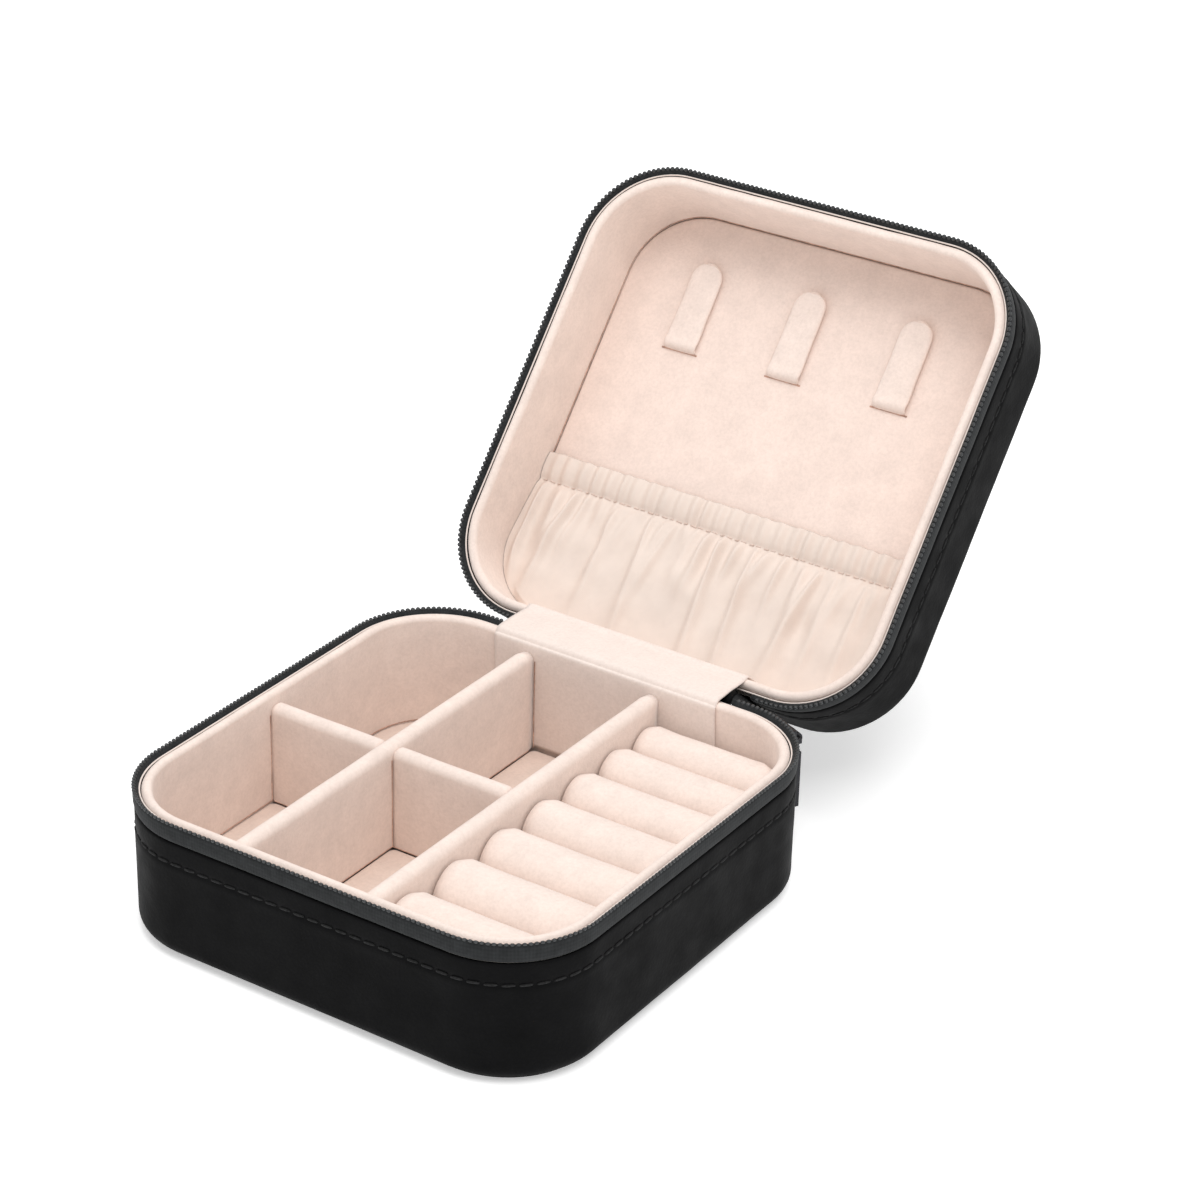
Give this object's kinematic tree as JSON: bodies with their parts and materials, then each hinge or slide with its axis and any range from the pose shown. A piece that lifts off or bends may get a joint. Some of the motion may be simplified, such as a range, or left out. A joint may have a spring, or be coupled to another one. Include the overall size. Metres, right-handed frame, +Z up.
{
  "type": "travel jewelry case",
  "caption": "Square zip-round travel jewelry case standing open at its fabric hinge, with divided trays, ring rolls, hook tongues and a gathered pocket in the lid.",
  "frame": {"origin": "middle of the base's resting face", "axes": "+Z up, +X along the hinge to the right seen from the front, -Y to the front"},
  "size_m": [0.0958, 0.1779, 0.0992],
  "materials": {
    "shell_board": "matte",
    "black_leather": "satin",
    "zipper_tape": "matte",
    "zipper_coil": "satin",
    "blush_velvet": "matte",
    "roll_velvet": "matte",
    "pocket_cloth": "satin",
    "zipper_metal": "satin"
  },
  "bodies": {
    "base": {"base_core": "shell_board", "base_wrap": "black_leather", "base_bottom_panel": "black_leather", "base_zipper_tape": "zipper_tape", "base_zipper_teeth": "zipper_coil", "base_lining_wall": "blush_velvet", "base_floor_pad": "blush_velvet", "divider_long_left": "blush_velvet", "divider_long_right": "blush_velvet", "divider_cross_left": "blush_velvet", "divider_cross_right": "blush_velvet", "ring_bed": "blush_velvet", "ring_roll_1": "roll_velvet", "ring_roll_2": "roll_velvet", "ring_roll_3": "roll_velvet", "ring_roll_4": "roll_velvet", "ring_roll_5": "roll_velvet", "ring_roll_6": "roll_velvet", "ring_roll_7": "roll_velvet", "hinge_spine": "black_leather", "hinge_flap": "blush_velvet"},
    "lid": {"lid_core": "shell_board", "lid_wrap": "black_leather", "lid_top_panel": "black_leather", "lid_zipper_tape": "zipper_tape", "lid_zipper_teeth": "zipper_coil", "lid_lining_wall": "blush_velvet", "lid_panel": "blush_velvet", "pocket_header": "pocket_cloth", "pocket_pouch": "pocket_cloth"},
    "tongue_1": {"hook_tongue_1": "blush_velvet"},
    "tongue_2": {"hook_tongue_2": "blush_velvet"},
    "tongue_3": {"hook_tongue_3": "blush_velvet"},
    "slider": {"zipper_slider": "zipper_metal"},
    "pull": {"zipper_pull": "zipper_metal"}
  },
  "joints": [
    {"name": "lid_hinge", "type": "hinge", "parent": "base", "child": "lid", "pos_m": [0, 0.05, 0.0262], "axis": [1, 0, 0], "range_deg": [-50, 130], "deforming": ["hinge_spine", "hinge_flap"]},
    {"name": "tongue_1_fold", "type": "hinge", "parent": "lid", "child": "tongue_1", "pos_m": [-0.0261, 0.10774, 0.06522], "axis": [1, 0, 0], "range_deg": [0, 30], "stiffness_Nm_per_rad": 0.0002},
    {"name": "tongue_2_fold", "type": "hinge", "parent": "lid", "child": "tongue_2", "pos_m": [-0.002, 0.10774, 0.06522], "axis": [1, 0, 0], "range_deg": [0, 30], "stiffness_Nm_per_rad": 0.0002},
    {"name": "tongue_3_fold", "type": "hinge", "parent": "lid", "child": "tongue_3", "pos_m": [0.0221, 0.10774, 0.06522], "axis": [1, 0, 0], "range_deg": [0, 30], "stiffness_Nm_per_rad": 0.0002},
    {"name": "slider_run", "type": "hinge", "parent": "base", "child": "slider", "pos_m": [0.0295, 0.0295, 0.0242], "axis": [0, 0, 1], "range_deg": [-60, 0]},
    {"name": "pull_swing", "type": "hinge", "parent": "slider", "child": "pull", "pos_m": [0.0384, 0.04858, 0.0244], "axis": [0.9063, -0.4226, 0], "range_deg": [0, 80]}
  ]
}
